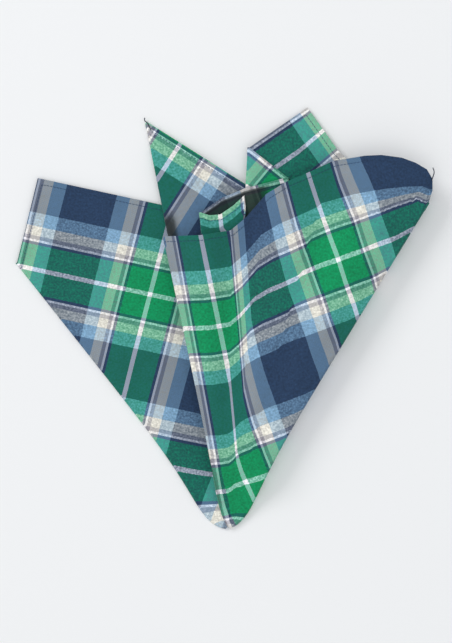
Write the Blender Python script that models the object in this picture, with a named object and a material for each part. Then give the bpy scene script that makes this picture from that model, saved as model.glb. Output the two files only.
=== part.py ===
"""Checked cotton pocket handkerchief, gathered at its centre and laid flat as a fan of pleats.

The cloth is one sheet. Its centre is the point at the bottom of the fan, and its hem runs
back and forth along the top, panel by panel. Each panel lies one level under the last.
"""

import math

import bmesh
import bpy
import numpy as np

THICKNESS = 0.0010
LAYER_PITCH = 0.0014
INNER_START = 0.045
TIP_START = 0.004
TIP_LAYERS_UNDER_FRONT = 2
RADIAL_STEPS = 12
DEGREES_PER_STEP = 3.6
FOLD_STEPS = 3
CLOTH_COLOUR = (0.03, 0.20, 0.13, 1.0)
MM = 0.001

# One row for each panel, front to back: name, level above the surface, and the hem as pairs of
# angle (degrees right of the fan's centre line) and distance from the tip (mm).
PANELS = [
    ("front", 10, [(31.6, 211.0), (31.3, 218.0), (29.7, 227.0), (25.5, 227.0), (22.1, 222.0),
                   (16.0, 211.5), (12.6, 201.5), (9.5, 194.3), (6.5, 186.1), (3.3, 172.5),
                   (0.0, 164.4), (-5.5, 162.9), (-12.2, 165.5)]),
    ("behind_front", 9, [(-12.2, 163.0), (-5.0, 158.0), (2.8, 168.0)]),
    ("curl", 8, [(2.8, 184.7), (1.0, 179.0), (-1.1, 173.9), (-4.9, 175.6)]),
    ("curl_back", 7, [(-4.9, 175.6), (2.8, 186.5), (9.6, 197.2)]),
    ("small_flap", 6, [(9.6, 197.2), (3.2, 211.4)]),
    ("right_corner", 5, [(3.2, 211.4), (10.7, 237.6), (16.2, 218.2), (28.0, 199.4)]),
    ("peak", 4, [(28.0, 166.6), (20.0, 170.2), (10.0, 179.9), (0.0, 196.9), (-11.3, 230.0)]),
    ("peak_back", 3, [(-11.3, 228.0), (0.0, 190.0), (12.0, 172.0), (28.0, 165.0)]),
    ("left_corner", 2, [(28.0, 169.0), (14.0, 165.0), (0.0, 170.4), (-11.1, 182.5),
                        (-28.5, 221.1), (-38.4, 188.3)]),
    ("under", 1, [(-38.4, 188.3), (-20.0, 166.0), (0.0, 157.0), (20.0, 170.0), (31.6, 211.0)]),
]

OUTER_PANELS = ("front", "left_corner", "under")

# Soft humps of the front panel: centre angle, half width (degrees), height (mm).
FRONT_HUMPS = [(-5.6, 7.0, 6.0), (12.0, 9.0, 3.6), (24.0, 9.0, 4.2)]
# How far a corner that reaches past the others sinks towards the surface (mm), and where it starts.
DROOPS = {"right_corner": (4.0, 200.0, 238.0), "small_flap": (1.0, 198.0, 212.0),
          "peak": (3.2, 196.0, 230.0), "peak_back": (2.2, 196.0, 230.0)}


def smooth_step(value, low, high):
    share = min(max((value - low) / (high - low), 0.0), 1.0)
    return share * share * (3.0 - 2.0 * share)


def height(panel, level, angle, radius):
    """Height of a panel's middle surface above the lowest sheet's middle."""
    layers_below = level - 1
    if panel == "front":
        # At the tip only the two lowest layers reach under the front panel.
        extra = layers_below - TIP_LAYERS_UNDER_FRONT
        layers_below = TIP_LAYERS_UNDER_FRONT + extra * smooth_step(radius, 0.0, INNER_START)
    lift = LAYER_PITCH * layers_below
    if panel == "front":
        open_share = smooth_step(radius, 0.03, 0.15)
        for centre, half_width, peak in FRONT_HUMPS:
            away = min(abs(angle - centre) / half_width, 1.0)
            lift += peak * MM * open_share * 0.5 * (1 + math.cos(math.pi * away))
    if panel in DROOPS:
        depth, start, end = DROOPS[panel]
        lift -= depth * MM * smooth_step(radius, start * MM, end * MM)
    return lift


def straight_hem(angle, first, last):
    """Distance from the tip to the straight hem between two of its points, along an angle."""
    a, a0, a1 = (math.radians(x) for x in (angle, first[0], last[0]))
    return math.sin(a1 - a0) / (math.sin(a1 - a) / first[1] + math.sin(a - a0) / last[1])


def panel_samples(hem):
    """Angles along one panel with the hem's distance, and every corner of the hem kept."""
    samples = []
    for first, last in zip(hem, hem[1:]):
        steps = max(1, round(abs(last[0] - first[0]) / DEGREES_PER_STEP))
        for step in range(steps):
            angle = first[0] + (last[0] - first[0]) * step / steps
            samples.append((angle, straight_hem(angle, first, last)))
    samples.append(hem[-1])
    return samples


def fan_point(angle, radius, sideways, lift):
    """Point of the fan in space, with the tip at the origin and +Y up the centre line."""
    a = math.radians(angle)
    return np.array((radius * math.sin(a) + sideways * math.cos(a),
                     radius * math.cos(a) - sideways * math.sin(a), lift))


def rulings():
    """Every ruling of the closed fan, from the tip's side to the hem, as rows of points."""
    rows = []
    for index, (name, level, hem) in enumerate(PANELS):
        start = TIP_START if name in OUTER_PANELS else INNER_START
        for angle, hem_mm in panel_samples(hem):
            radii = np.linspace(start, hem_mm * MM, RADIAL_STEPS)
            rows.append([fan_point(angle, r, 0.0, height(name, level, angle, r)) for r in radii])
        after_name, after_level, after_hem = PANELS[(index + 1) % len(PANELS)]
        after_start = TIP_START if after_name in OUTER_PANELS else INNER_START
        angle, hem_mm = hem[-1]
        side = 1.0 if angle > hem[0][0] else -1.0
        for step in range(1, FOLD_STEPS + 1):
            share = step / (FOLD_STEPS + 1)
            turn = math.pi * share
            out = LAYER_PITCH * 0.5 * math.sin(turn) * side
            blend = 0.5 - 0.5 * math.cos(turn)
            edge = (hem_mm + (after_hem[0][1] - hem_mm) * share) * MM
            low = start + (after_start - start) * share
            points = []
            for r in np.linspace(low, edge, RADIAL_STEPS):
                z0 = height(name, level, angle, r)
                z1 = height(after_name, after_level, angle, r)
                points.append(fan_point(angle, r, out, z0 + (z1 - z0) * blend))
            rows.append(points)
    return np.array(rows)


def add_thickness(middle):
    """The two faces of the sheet, half its thickness to each side of the middle surface."""
    along = np.roll(middle, -1, axis=0) - np.roll(middle, 1, axis=0)
    outward = np.gradient(middle, axis=1)
    normal = np.cross(along, outward)
    normal /= np.maximum(np.linalg.norm(normal, axis=2, keepdims=True), 1e-12)
    return middle + normal * THICKNESS / 2, middle - normal * THICKNESS / 2


def cloth_mesh():
    one_face, other_face = add_thickness(rulings())
    rows, columns = one_face.shape[:2]
    bm = bmesh.new()
    one = [[bm.verts.new(p) for p in row] for row in one_face]
    other = [[bm.verts.new(p) for p in row] for row in other_face]
    for i in range(rows):
        j = (i + 1) % rows
        for k in range(columns - 1):
            bm.faces.new((one[i][k], one[j][k], one[j][k + 1], one[i][k + 1]))
            bm.faces.new((other[i][k], other[i][k + 1], other[j][k + 1], other[j][k]))
        bm.faces.new((one[i][0], other[i][0], other[j][0], one[j][0]))
        last = columns - 1
        bm.faces.new((one[i][last], one[j][last], other[j][last], other[i][last]))
    bmesh.ops.recalc_face_normals(bm, faces=bm.faces)
    bmesh.ops.triangulate(bm, faces=bm.faces)
    # The lowest sheet lies flat on the surface.
    lowest = min(v.co.z for v in bm.verts)
    for v in bm.verts:
        if v.co.z < lowest + THICKNESS * 0.05:
            v.co.z = lowest
    xs = [v.co.x for v in bm.verts]
    ys = [v.co.y for v in bm.verts]
    centre = ((min(xs) + max(xs)) / 2, (min(ys) + max(ys)) / 2, lowest)
    bmesh.ops.translate(bm, verts=bm.verts, vec=[-c for c in centre])
    print("fan tip at", round(-centre[0], 5), round(-centre[1], 5))
    return bm


def cotton_material():
    material = bpy.data.materials.new("checked_cotton")
    material.use_nodes = True
    shader = material.node_tree.nodes["Principled BSDF"]
    shader.inputs["Base Color"].default_value = CLOTH_COLOUR
    shader.inputs["Roughness"].default_value = 0.9
    shader.inputs["Metallic"].default_value = 0.0
    return material


def main():
    for thing in list(bpy.data.objects):
        bpy.data.objects.remove(thing)
    mesh = bpy.data.meshes.new("handkerchief")
    bm = cloth_mesh()
    bm.to_mesh(mesh)
    bm.free()
    cloth = bpy.data.objects.new("handkerchief", mesh)
    bpy.context.scene.collection.objects.link(cloth)
    mesh.materials.append(cotton_material())


main()
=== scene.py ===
# %% [markdown]
# A checked cotton pocket handkerchief, gathered at its centre and laid flat as a fan of pleats.
# The imported CAD model is the frame: everything made here is placed in its box. The cloth's sizes
# are in this script's own tables, which follow the model's.

# %% Load the frame
import math

import bmesh
import bpy
from mathutils import Matrix, Vector


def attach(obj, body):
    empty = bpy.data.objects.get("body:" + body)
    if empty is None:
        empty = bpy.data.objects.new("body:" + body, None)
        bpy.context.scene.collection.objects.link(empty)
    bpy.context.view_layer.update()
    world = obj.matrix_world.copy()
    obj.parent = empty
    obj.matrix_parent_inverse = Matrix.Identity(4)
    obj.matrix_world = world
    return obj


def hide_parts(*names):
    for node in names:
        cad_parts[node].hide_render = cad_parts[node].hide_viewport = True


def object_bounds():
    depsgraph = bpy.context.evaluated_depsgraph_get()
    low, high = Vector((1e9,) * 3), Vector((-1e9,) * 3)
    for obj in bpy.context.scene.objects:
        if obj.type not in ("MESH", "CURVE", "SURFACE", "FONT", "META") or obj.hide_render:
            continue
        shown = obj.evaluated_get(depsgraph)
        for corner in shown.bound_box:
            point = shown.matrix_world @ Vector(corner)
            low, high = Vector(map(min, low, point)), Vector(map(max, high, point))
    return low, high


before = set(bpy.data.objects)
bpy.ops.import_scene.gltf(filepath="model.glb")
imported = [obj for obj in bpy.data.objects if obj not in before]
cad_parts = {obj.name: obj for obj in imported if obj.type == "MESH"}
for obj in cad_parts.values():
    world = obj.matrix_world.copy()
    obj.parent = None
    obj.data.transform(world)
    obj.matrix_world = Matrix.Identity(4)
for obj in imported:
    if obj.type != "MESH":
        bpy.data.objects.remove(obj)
cad_low, cad_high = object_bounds()
print("frame box", [round(v, 4) for v in cad_low], [round(v, 4) for v in cad_high])

# %% [markdown]
# The real cloth is a square with its centre at the fan's tip, so each fold is taken as a straight
# line from the tip. A cloth simulation could drop it, but would hardly land in the photo's folds.
# So the fan is a table, with a row for each panel between two folds, from front to back. Each hem
# point has an angle (degrees right of the centre line), a distance from the tip (mm) and its
# place in the flat check, in photo pixels from the panel's corner of the square.

# %% The fan's panels
PANELS = [
    ("front", 10, [(31.46, 211.5, 32, 72), (31.08, 218.2, 29, 38), (30.22, 223.7, 28, 12),
                   (28.87, 226.7, 29, 0), (26.98, 226.9, 34, 0), (25.0, 226.0, 42, 0),
                   (22.26, 222.9, 56, 0), (20.05, 219.2, 70, 0), (17.88, 214.8, 86, 0),
                   (16.0, 211.5, 101, 0), (12.6, 201.5, 130, 0), (9.5, 194.3, 156, 0),
                   (6.5, 186.1, 183, 0), (3.3, 172.5, 230, 0), (0.5, 165.0, 262, 0),
                   (-5.3, 162.9, 290, 0), (-10.0, 164.3, 317, 0), (-12.2, 165.5, 333, 0)]),
    ("behind_front", 9, [(-12.2, 163.0, 333, 0), (-5.0, 158.0, 375, 0), (2.8, 168.0, 420, 0)]),
    ("curl", 8, [(2.8, 184.7, 97, 64), (1.0, 179.0, 112, 64), (-1.4, 173.9, 127, 64),
                 (-3.4, 173.7, 138, 64), (-4.9, 175.6, 147, 64)]),
    ("curl_back", 7, [(-4.9, 175.6, 200, 0), (-1.1, 183.0, 185, 0), (2.8, 188.5, 165, 0),
                      (9.6, 197.2, 120, 0)]),
    ("small_flap", 6, [(9.6, 197.2, 119, 0), (3.2, 211.4, 71, 0)]),
    ("right_corner", 5, [(3.2, 211.4, 71, 0), (10.7, 237.6, 0, 0), (16.2, 218.2, 0, 58),
                         (28.0, 199.4, 0, 110)]),
    ("peak", 4, [(28.0, 166.6, 262, 0), (20.0, 170.2, 220, 0), (10.0, 179.9, 162, 0),
                 (0.0, 196.9, 96, 0), (-11.3, 230.0, 0, 0)]),
    ("peak_back", 3, [(-11.3, 228.0, 0, 0), (0.0, 190.0, 0, 96), (12.0, 172.0, 0, 162),
                      (28.0, 165.0, 0, 262)]),
    ("left_corner", 2, [(28.0, 169.0, 330, 0), (14.0, 165.0, 264, 0), (0.0, 170.4, 191, 0),
                        (-11.1, 182.5, 126, 0), (-28.5, 221.1, 0, 0), (-38.4, 188.3, 0, 86)]),
    ("under", 1, [(-38.4, 188.3, 0, 86), (-20.0, 166.0, 0, 160), (0.0, 157.0, 0, 240),
                  (20.0, 170.0, 0, 320), (31.46, 211.5, 0, 380)]),
]
print(len(PANELS), "panels")

# %% [markdown]
# It could be drawn on a flat square and unfolded, but the hidden folds aren't known. So each panel
# says where the tip falls in its check and where its first navy band is, both as measured in the
# photo.

TIPS = {"front": (320, 287), "behind_front": (320, 287), "curl": (297, 297),
        "curl_back": (297, 297), "small_flap": (297, 297), "right_corner": (297, 297),
        "peak": (287, 297), "peak_back": (287, 297), "left_corner": (265, 299),
        "under": (265, 299)}
NAVY_AT = {"front": (50, 10), "behind_front": (50, 10), "curl": (47, 111), "curl_back": (47, 111),
           "small_flap": (47, 111), "right_corner": (47, 111), "peak": (-40, 57),
           "peak_back": (-40, 57), "left_corner": (54, 9), "under": (54, 9)}
# Angle, distance of the bend from the tip, and the place in the check there.
BENDS = {"front": [(31.46, 206.0, 34, 78), (29.7, 210.7, 36, 62), (25.5, 194.1, 75, 62),
                   (22.1, 183.2, 104, 62), (16.0, 167.7, 147, 62)],
         "curl": [(2.8, 176.0, 100, 90), (1.0, 170.5, 114, 90), (-1.4, 165.6, 128, 90),
                  (-3.4, 165.4, 139, 90), (-4.9, 167.3, 148, 90)]}
print(len(BENDS), "panels with a bend")

# %% [markdown]
# Each layer lies one pitch above the last, and less near the tip, where the cloth is pinched. The
# front panel has soft humps, because pinched cotton never lies quite flat, and the corners that
# reach out sink. Sculpting could give the humps, but a formula is easy to measure and to change.
# The layers aren't all clear of each other: they cut through one another at the peak's corner, at
# the tip, where the inner panels begin and at places along the right wall.

# %% Height of a panel
LAYER_PITCH = 1.4
INNER_START = 45.0
PINCH_START, PINCH_SHARE = 5.0, 0.5
LAYERS_UNDER_FRONT_AT_TIP = 2
HUMPS_FROM, HUMPS_TO = 30.0, 150.0
# Centre and half width in degrees, and height in mm.
HUMPS = [(-5.6, 7.0, 6.0), (12.0, 9.0, 3.6), (24.0, 9.0, 4.2)]
# Depth, start and end in mm.
DROOPS = {"right_corner": (4.0, 200.0, 238.0), "small_flap": (1.0, 198.0, 212.0),
          "peak": (3.2, 196.0, 230.0), "peak_back": (2.2, 196.0, 230.0)}


def smooth_step(value, low, high):
    share = min(max((value - low) / (high - low), 0.0), 1.0)
    return share * share * (3.0 - 2.0 * share)


def panel_height(name, level, angle, radius):
    """Height in mm of the cloth's middle above that of the lowest layer."""
    tight = PINCH_SHARE + (1 - PINCH_SHARE) * smooth_step(radius, PINCH_START, INNER_START)
    layers = level - 1
    if name == "front":
        least = LAYERS_UNDER_FRONT_AT_TIP
        layers = least + (layers - least) * smooth_step(radius, 0.0, INNER_START)
    lift = LAYER_PITCH * layers * tight
    if name == "front":
        opened = smooth_step(radius, HUMPS_FROM, HUMPS_TO)
        for centre, half_width, peak in HUMPS:
            away = min(abs(angle - centre) / half_width, 1.0)
            lift += peak * opened * 0.5 * (1 + math.cos(math.pi * away))
    if name in DROOPS:
        depth, start, end = DROOPS[name]
        lift -= depth * smooth_step(radius, start, end)
    return lift


print("ridge of the front panel", round(panel_height("front", 10, -5.6, 160.0), 1), "mm high")

# %% [markdown]
# A hem is straight in the cloth, so between two points of the table it is a straight line too.
# The table could be joined by a smooth curve, but a sewn edge doesn't bulge. The sheet will be
# made of columns that run from the tip to the hem. Where two panels meet, a few more columns turn
# half a circle, since cotton doesn't crease to a knife edge. The tall wall that closes the loop
# carries the front panel's check down its side.

# %% Columns of the fan
MM = 0.001
PIXEL_MM = 330.0 / 594.0
TIP_START = 0.6
STEP_DEGREES = 0.6
FOLD_STEPS = 5
OUTER = ("front", "left_corner", "under")


def fan_place(angle, radius):
    a = math.radians(angle)
    return Vector((radius * math.sin(a), radius * math.cos(a)))


def straight_hem(angle, first, last):
    """Distance from the tip to the straight line between two hem points, at an angle."""
    a, a0, a1 = (math.radians(x) for x in (angle, first[0], last[0]))
    return math.sin(a1 - a0) / (math.sin(a1 - a) / first[1] + math.sin(a - a0) / last[1])


def mix(first, last, share):
    return tuple(p + (q - p) * share for p, q in zip(first, last))


def panel_columns(name, level, hem, start, along):
    """The columns of one panel, and how far its hem runs. Slant is how squarely they meet it."""
    found = []
    for first, last in zip(hem, hem[1:]):
        run = fan_place(*last[:2]) - fan_place(*first[:2])
        steps = max(1, round(abs(last[0] - first[0]) / STEP_DEGREES))
        for step in range(steps + 1 if last is hem[-1] else steps):
            angle = first[0] + (last[0] - first[0]) * step / steps
            edge = straight_hem(angle, first, last)
            gone = (fan_place(angle, edge) - fan_place(*first[:2])).length
            found.append(dict(names=(name, name), levels=(level, level), angle=angle, edge=edge,
                              check=mix(first[2:], last[2:], gone / run.length), check_of=name,
                              start=start, out=0.0, blend=0.0, along=along + gone,
                              slant=abs(fan_place(angle, 1.0).cross(run.normalized()))))
        along += run.length
    return found, along


def fold_columns(last_column, panel, next_panel, start, next_start):
    """The columns that turn from one panel into the next one."""
    (name, level, hem), (next_name, next_level, next_hem) = panel, next_panel
    side = 1.0 if hem[-1][0] > hem[0][0] else -1.0
    wall = abs(next_level - level) * LAYER_PITCH / PIXEL_MM
    found = []
    for step in range(1, FOLD_STEPS + 1):
        share = step / (FOLD_STEPS + 1)
        own = share < 0.5 and next_name != "front"
        u, v = hem[-1][2:] if own else next_hem[0][2:]
        found.append(dict(last_column, names=(name, next_name), levels=(level, next_level),
                          check_of=name if own else next_name,
                          check=(u - wall * (1 - share), v) if next_name == "front" else (u, v),
                          edge=hem[-1][1] + (next_hem[0][1] - hem[-1][1]) * share,
                          start=start + (next_start - start) * share,
                          out=LAYER_PITCH * 0.5 * math.sin(math.pi * share) * side,
                          blend=0.5 - 0.5 * math.cos(math.pi * share)))
    return found


columns, hem_run = [], 0.0
starts = [TIP_START if name in OUTER else INNER_START for name, _, _ in PANELS]
for number, panel in enumerate(PANELS):
    following = (number + 1) % len(PANELS)
    made, hem_run = panel_columns(*panel, starts[number], hem_run)
    columns += made
    columns += fold_columns(made[-1], panel, PANELS[following], starts[number], starts[following])
print(len(columns), "columns, with", round(hem_run), "mm of hem")

# %% [markdown]
# Along a column the check runs evenly from the tip to the hem, or to the bend and then the hem.
# Two places lie deep between layers, the inside of the curl and the slit left of the peak. Little
# light reaches them in the real cloth. The modelled layers are flatter and let the light in, so
# the sheet carries a painted shade for those places, and the material darkens their colour with it.

# %% The check and the shade along a column
# Where and how far the painted shade darkens the curl's inside and the slit left of the peak.
CURL_SHADE_GAP, CURL_SHADE_ANGLE = (0.8, 2.0), (5.0, 8.0)
SLIT_ANGLE, SLIT_RADIUS = (-10.4, -9.2), (173.0, 180.0)


def bend_at(name, angle):
    """The bend's (distance, u, v) on this column, or nothing where the cloth has none."""
    bends = BENDS.get(name, [])
    for first, last in zip(bends, bends[1:]):
        if last[0] <= angle <= first[0]:
            return mix(first[1:], last[1:], (angle - first[0]) / (last[0] - first[0]))
    return None


def check_place(name, angle, edge, hem_check, radius):
    """Place in the check, in mm from the middle of a navy band each way."""
    bend = bend_at(name, angle)
    if bend is None:
        place = mix(TIPS[name], hem_check, radius / edge)
    elif radius < bend[0]:
        place = mix(TIPS[name], bend[1:], radius / bend[0])
    else:
        place = mix(bend[1:], hem_check, min((radius - bend[0]) / (edge - bend[0]), 1.0))
    return [(p - n) * PIXEL_MM for p, n in zip(place, NAVY_AT[name])]


# Painted shade: how far the base colour is darkened at this point, from 0 to 1.
def depth_shade(name, angle, radius, gap):
    if name == "curl_back":
        return smooth_step(gap, *CURL_SHADE_GAP) * (1 - smooth_step(angle, *CURL_SHADE_ANGLE))
    if name == "peak":
        return (1 - smooth_step(angle, *SLIT_ANGLE)) * (1 - smooth_step(radius, *SLIT_RADIUS))
    return 0.0


print("tip of the front panel in the check", check_place("front", 0.0, 165.0, (265, 0), 0.0))

# %% [markdown]
# The cloth is one sheet. It starts as a plain grid, as wide as the fan has columns, and each point
# of the grid moves to its place in the fold, like paper that is creased. The first and the last
# column fall together and are welded. Solidify then gives the thickness, and a vertex group makes
# the turned hem thicker. Near the tip the cloth bunches, so the sheet swells sideways there.

# %% Fold the sheet
RADIAL_STEPS = 78
HEM_CROWDING = 1.5
CLOTH, HEM, HEM_WIDTH = 0.5, 0.85, 3.0
SWELL, SWELL_AT, SWELL_ANGLE = 4.5, 14.0, 35.0
WELD = 0.000001
VALUES = ("check_u", "check_v", "from_hem", "along", "painted_shade")


def sheet_point(column, radius):
    """Where a point of the sheet lies, in metres from the tip."""
    low, high = (panel_height(name, level, column["angle"], radius)
                 for name, level in zip(column["names"], column["levels"]))
    reach = radius / SWELL_AT * math.exp(1 - radius / SWELL_AT)
    sideways = column["out"] + SWELL * column["angle"] / SWELL_ANGLE * reach
    a = math.radians(column["angle"])
    return MM * Vector((radius * math.sin(a) + sideways * math.cos(a),
                        radius * math.cos(a) - sideways * math.sin(a),
                        low + (high - low) * column["blend"]))


def fold_sheet():
    bm = bmesh.new()
    count = len(columns)
    bmesh.ops.create_grid(bm, x_segments=count, y_segments=RADIAL_STEPS, size=1.0)
    layers = {key: bm.verts.layers.float.new(key) for key in VALUES}
    weight = bm.verts.layers.deform.new()
    for vert in bm.verts:
        c = columns[round((vert.co.x + 1) / 2 * count) % count]
        # Points stand closer together towards the hem.
        share = 1 - (1 - (vert.co.y + 1) / 2) ** HEM_CROWDING
        radius = c["start"] + (c["edge"] - c["start"]) * share
        vert.co = sheet_point(c, radius)
        gap = (c["edge"] - radius) * c["slant"]
        u, v = check_place(c["check_of"], c["angle"], c["edge"], c["check"], radius)
        # The painted shade for this point is stored on the sheet with the check.
        painted_shade = depth_shade(c["check_of"], c["angle"], radius, gap)
        for key, value in zip(VALUES, (u, v, gap, c["along"], painted_shade)):
            vert[layers[key]] = value
        vert[weight][0] = 1.0 if gap < HEM_WIDTH else CLOTH / HEM
    bmesh.ops.remove_doubles(bm, verts=bm.verts, dist=WELD)
    bmesh.ops.recalc_face_normals(bm, faces=bm.faces)
    mesh = bpy.data.meshes.new("handkerchief_cloth")
    bm.to_mesh(mesh)
    bm.free()
    mesh.shade_smooth()
    made = bpy.data.objects.new("handkerchief_cloth", mesh)
    bpy.context.scene.collection.objects.link(made)
    made.vertex_groups.new(name="thickness")
    return made


cloth = fold_sheet()
print(len(cloth.data.polygons), "faces in the sheet")

# %% [markdown]
# The sheet now moves into the frame, centred across it, with its underside on the table and its
# top corner just inside. Moving the mesh and not the object keeps the object at the origin. The
# sheet rides the frame's only body and is shown in place of the plain CAD solid.

# %% Place the sheet
TOP_ROOM = 0.0004
lows = [min(v.co[k] for v in cloth.data.vertices) for k in range(3)]
highs = [max(v.co[k] for v in cloth.data.vertices) for k in range(3)]
tip = Vector(((cad_low.x + cad_high.x - lows[0] - highs[0]) / 2,
              cad_high.y - highs[1] - TOP_ROOM, HEM * MM / 2 - lows[2]))
cloth.data.transform(Matrix.Translation(tip))
thickness = cloth.modifiers.new("thickness", "SOLIDIFY")
thickness.thickness = HEM * MM
thickness.offset = 0.0
thickness.vertex_group = "thickness"
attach(cloth, "root")
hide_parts("handkerchief")
print("tip of the fan at", [round(v, 4) for v in tip])

# %% [markdown]
# Two ends of the hem's sewing thread stick out at corners. Each could be a chain of cylinders, but
# a bevelled curve through a few points bends smoothly and is then made a mesh. The points are in
# the photo's pixels, so that the ends land where the photo shows them.

# %% Thread ends
TIP_PIXEL = (228.0, 528.0)
PIXEL = PIXEL_MM * MM
THREAD_RADIUS = 0.00028
NEAR = 0.003


def pixel_place(x, y):
    return tip.x + (x - TIP_PIXEL[0]) * PIXEL, tip.y + (TIP_PIXEL[1] - y) * PIXEL


def top_near(x, y):
    """The cloth's height near a pixel of the photo."""
    spot = Vector(pixel_place(x, y))
    near = [v.co.z for v in cloth.data.vertices if (v.co.xy - spot).length < NEAR]
    return max(near) + HEM * MM / 2


def thread_end(name, pixels, height):
    path = bpy.data.curves.new(name, "CURVE")
    path.dimensions = "3D"
    path.bevel_depth = THREAD_RADIUS
    path.bevel_resolution = 2
    spline = path.splines.new("NURBS")
    spline.points.add(len(pixels) - 1)
    for point, pixel in zip(spline.points, pixels):
        point.co = (*pixel_place(*pixel), height, 1.0)
    spline.order_u = 3
    spline.use_endpoint_u = True
    maker = bpy.data.objects.new(name, path)
    bpy.context.scene.collection.objects.link(maker)
    depsgraph = bpy.context.evaluated_depsgraph_get()
    mesh = bpy.data.meshes.new_from_object(maker.evaluated_get(depsgraph))
    bpy.data.objects.remove(maker)
    end = bpy.data.objects.new(name, mesh)
    bpy.context.scene.collection.objects.link(end)
    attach(end, "root")
    return end


threads = [thread_end("thread_end_peak",
                      [(145, 118), (144, 121), (148, 123), (149, 127), (151, 130)], top_near(149, 127)),
           thread_end("thread_end_right",
                      [(431, 169), (433, 173), (431, 178), (430, 182)], top_near(429, 178))]
print(len(threads), "thread ends")

# %% [markdown]
# Shader maths can be wired node by node in the editor. In a script it is shorter to wrap a socket
# in a small class, so that a sum written in Python adds its own Math nodes. A second class holds a
# material and makes every other kind of node.

# %% Shader helpers


class Socket:
    """A shader value that adds its own Math nodes."""

    def __init__(self, tree, link):
        self.tree, self.link = tree, link

    def math(self, operation, *others):
        node = self.tree.nodes.new("ShaderNodeMath")
        node.operation = operation
        for number, value in enumerate((self, *others)):
            if isinstance(value, Socket):
                self.tree.links.new(value.link, node.inputs[number])
            else:
                node.inputs[number].default_value = value
        return Socket(self.tree, node.outputs[0])

    def __add__(self, other):
        return self.math("ADD", other)

    def __mul__(self, other):
        return self.math("MULTIPLY", other)

    def __sub__(self, other):
        return self.math("SUBTRACT", other)

    def __rsub__(self, other):
        return (self * -1.0) + other

    __radd__, __rmul__ = __add__, __mul__


class Shader:
    """A material's node tree, with one method that makes any node."""

    def __init__(self, name):
        self.material = bpy.data.materials.new(name)
        self.material.use_nodes = True
        self.tree = self.material.node_tree
        self.finish = self.tree.nodes["Principled BSDF"]

    def put(self, socket, value):
        if isinstance(value, Socket):
            self.tree.links.new(value.link, socket)
        else:
            socket.default_value = value

    def node(self, kind, settings=None, values=None, out=0):
        made = self.tree.nodes.new(kind)
        for key, value in (settings or {}).items():
            if key == "stops":
                self.set_stops(made.color_ramp, value)
            else:
                setattr(made, key, value)
        for key, value in (values or {}).items():
            self.put(made.inputs[key], value)
        return Socket(self.tree, made.outputs[out])

    def set_stops(self, ramp, stops):
        ramp.interpolation = "CONSTANT"
        while len(ramp.elements) > 1:
            ramp.elements.remove(ramp.elements[-1])
        for number, (place, colour) in enumerate(stops):
            stop = ramp.elements[0] if number == 0 else ramp.elements.new(place)
            stop.position = place
            stop.color = (*colour, 1.0)

    def attribute(self, name):
        return self.node("ShaderNodeAttribute", {"attribute_name": name}, out=2)

    def mix_colours(self, share, first, last):
        return self.node("ShaderNodeMix", {"data_type": "RGBA"}, {0: share, 6: first, 7: last}, out=2)

    def feed(self, **values):
        for name, value in values.items():
            self.put(self.finish.inputs[name.replace("_", " ")], value)


print("helpers ready")

# %% [markdown]
# Yarn-dyed check: warp and weft run through the same stripes, and where two cross the eye sees
# their average. An image of the cloth would do, but a ramp of stripes read once across and once
# along, and mixed by halves, stays sharp at any distance. The stripes go outwards from the middle
# of a navy band to the fine white line in the green.

# %% The stripes
NAVY = (0.165, 0.245, 0.355)
BLUE = (0.50, 0.65, 0.77)
ECRU = (0.90, 0.885, 0.835)
MAUVE = (0.58, 0.57, 0.60)
WHITE = (0.98, 0.97, 0.99)
GREEN = (0.035, 0.56, 0.35)
HALF_REPEAT = 44.5
STRIPES = [(0.0, NAVY), (13.6, BLUE), (20.9, ECRU), (26.2, MAUVE), (28.2, WHITE), (29.4, NAVY),
           (31.0, GREEN), (43.2, WHITE)]
print("check repeats every", 2 * HALF_REPEAT, "mm")

# %% [markdown]
# Close up, cotton shirting shows three things: the yarns crossing over and under, a grain where
# they vary, and a dashed line of stitches inside the hem. The grain could be in the colours alone,
# but a little of it in the stripes' edges and a faint bump make it cloth. The stripes are picked
# as they look on a screen, so a gamma turns them into light at the end.

# %% The checked cotton
YARN_PITCH = 0.42
GRAIN_SCALE, PATCH_SCALE = 900.0, 60.0
EDGE_WAVER, WEAVE_CONTRAST, YARN_GRAIN = 0.006, 0.16, 0.5
GRAIN, PATCHES = 0.6, 0.16
STITCH_HALF_WIDTH, STITCH_LENGTH, STITCH_CUT, STITCH_COVER = 0.32, 1.9, -0.75, 0.75
# The dark colour of the painted shade, and how far it covers the check.
SHADE, SHADE_COVER = (0.12, 0.14, 0.14), 0.8
SCREEN_GAMMA = 2.2
WEAVE_RELIEF, PATCH_RELIEF, STITCH_RELIEF = 0.25, 0.8, 1.6


def stitch_line(s):
    """1 on the stitches and 0 off them."""
    near = 1.0 - (s.attribute("from_hem") - HEM_WIDTH).math("ABSOLUTE") * (1 / STITCH_HALF_WIDTH)
    wave = (s.attribute("along") * (2 * math.pi / STITCH_LENGTH)).math("SINE")
    return (near.math("MAXIMUM", 0.0) * wave.math("GREATER_THAN", STITCH_CUT)).math("MINIMUM", 1.0)


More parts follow.
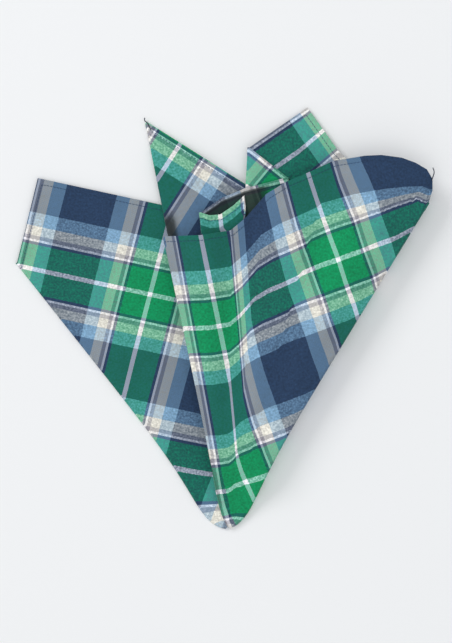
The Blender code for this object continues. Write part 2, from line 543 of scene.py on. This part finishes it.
def checked_cotton():
    s = Shader("checked_cotton")
    place = s.node("ShaderNodeTexCoord", out=3)
    grain = s.node("ShaderNodeTexNoise",
                   values={"Vector": place, "Scale": GRAIN_SCALE, "Detail": 3.0}) - 0.5
    patchy = s.node("ShaderNodeTexNoise", values={"Vector": place, "Scale": PATCH_SCALE, "Detail": 4.0})
    stops = [(where / HALF_REPEAT, colour) for where, colour in STRIPES]
    bands, waves = [], []
    for coordinate in (s.attribute("check_u"), s.attribute("check_v")):
        fold = coordinate.math("PINGPONG", HALF_REPEAT) * (1 / HALF_REPEAT) + grain * EDGE_WAVER
        bands.append(s.node("ShaderNodeValToRGB", {"stops": stops}, {"Fac": fold}))
        waves.append((coordinate * (math.pi / YARN_PITCH)).math("SINE"))
    # Plain weave: warp on top, then weft, in turn along each yarn.
    over = waves[0] * waves[1]
    woven = s.mix_colours(over * WEAVE_CONTRAST + 0.5 + grain * YARN_GRAIN, *bands)
    stitch = stitch_line(s)
    sewn = s.mix_colours(stitch * STITCH_COVER, woven, (*NAVY, 1.0))
    light = (patchy - 0.5) * PATCHES + grain * GRAIN + 1.0
    lit = s.node("ShaderNodeHueSaturation", values={"Value": light, "Color": sewn})
    # Painted shade: the colour is darkened in the curl's inside and the slit left of the peak.
    shaded = s.mix_colours(s.attribute("painted_shade") * SHADE_COVER, lit, (*SHADE, 1.0))
    colour = s.node("ShaderNodeGamma", values={"Color": shaded, "Gamma": SCREEN_GAMMA})
    relief = over * WEAVE_RELIEF + patchy * PATCH_RELIEF - stitch * STITCH_RELIEF
    bump = s.node("ShaderNodeBump", values={"Height": relief, "Strength": 0.5, "Distance": 0.00025})
    s.feed(Base_Color=colour, Roughness=0.86 + grain * 0.12, Sheen_Weight=0.12, Sheen_Roughness=0.5,
           Specular_IOR_Level=0.25, Normal=bump)
    return s.material


cloth.data.materials.append(checked_cotton())
yarn = Shader("dark_thread")
yarn.feed(Base_Color=(0.02, 0.03, 0.05, 1.0), Roughness=0.8)
for end in threads:
    end.data.materials.append(yarn.material)
print("materials", [material.name for material in (cloth.data.materials[0], yarn.material)])

# %% [markdown]
# The cloth lies on a plain pale table. A flat plane is enough, since nothing else shows. It isn't
# part of the handkerchief.

# %% The table
TABLE_HALF = 3.0


def pale_table():
    bm = bmesh.new()
    bmesh.ops.create_grid(bm, x_segments=1, y_segments=1, size=TABLE_HALF)
    mesh = bpy.data.meshes.new("table")
    bm.to_mesh(mesh)
    bm.free()
    table = bpy.data.objects.new("table", mesh)
    bpy.context.scene.collection.objects.link(table)
    s = Shader("pale_table")
    s.feed(Base_Color=(0.90, 0.905, 0.905, 1.0), Roughness=0.7)
    mesh.materials.append(s.material)
    return table


pale_table()
print("table", 2 * TABLE_HALF, "m wide")

# %% [markdown]
# The photo looks straight down. A short lens close by would splay the raised layers, so the camera
# stands well back with a long lens, set so that the photo's height just fills the sensor.

# %% The camera
PICTURE = (452.0, 643.0)
CAMERA_HEIGHT = 1.7
data = bpy.data.cameras.new("camera")
data.sensor_width = 36.0
data.lens = data.sensor_width * CAMERA_HEIGHT / (PICTURE[1] * PIXEL)
camera = bpy.data.objects.new("camera", data)
camera.location = (*pixel_place(PICTURE[0] / 2, PICTURE[1] / 2), CAMERA_HEIGHT)
bpy.context.scene.collection.objects.link(camera)
bpy.context.scene.camera = camera
print("lens", round(data.lens), "mm")

# %% [markdown]
# Light falls from the upper left, so the raised right side throws a soft shadow. Sun lamps would
# make it hard, so a broad area lamp stands in for the window, a second for the ceiling, and a pale
# world fills the rest of the room. The Standard view keeps the yarns' own colours.

# %% The lights


def add_light(name, place, power, size):
    lamp = bpy.data.lights.new(name, "AREA")
    lamp.energy, lamp.size = power, size
    light = bpy.data.objects.new(name, lamp)
    light.location = place
    light.rotation_mode = "QUATERNION"
    light.rotation_quaternion = (-Vector(place)).to_track_quat("-Z", "Y")
    bpy.context.scene.collection.objects.link(light)


add_light("window", place=(-1.8, 1.7, 1.8), power=34.0, size=1.3)
add_light("ceiling", place=(0.1, -0.2, 1.6), power=6.0, size=1.6)
world = bpy.data.worlds.new("soft_room")
world.use_nodes = True
background = world.node_tree.nodes["Background"]
background.inputs["Color"].default_value = (0.95, 0.97, 1.0, 1.0)
background.inputs["Strength"].default_value = 0.62
bpy.context.scene.world = world
bpy.context.scene.view_settings.view_transform = "Standard"
print("two lamps and a pale room")
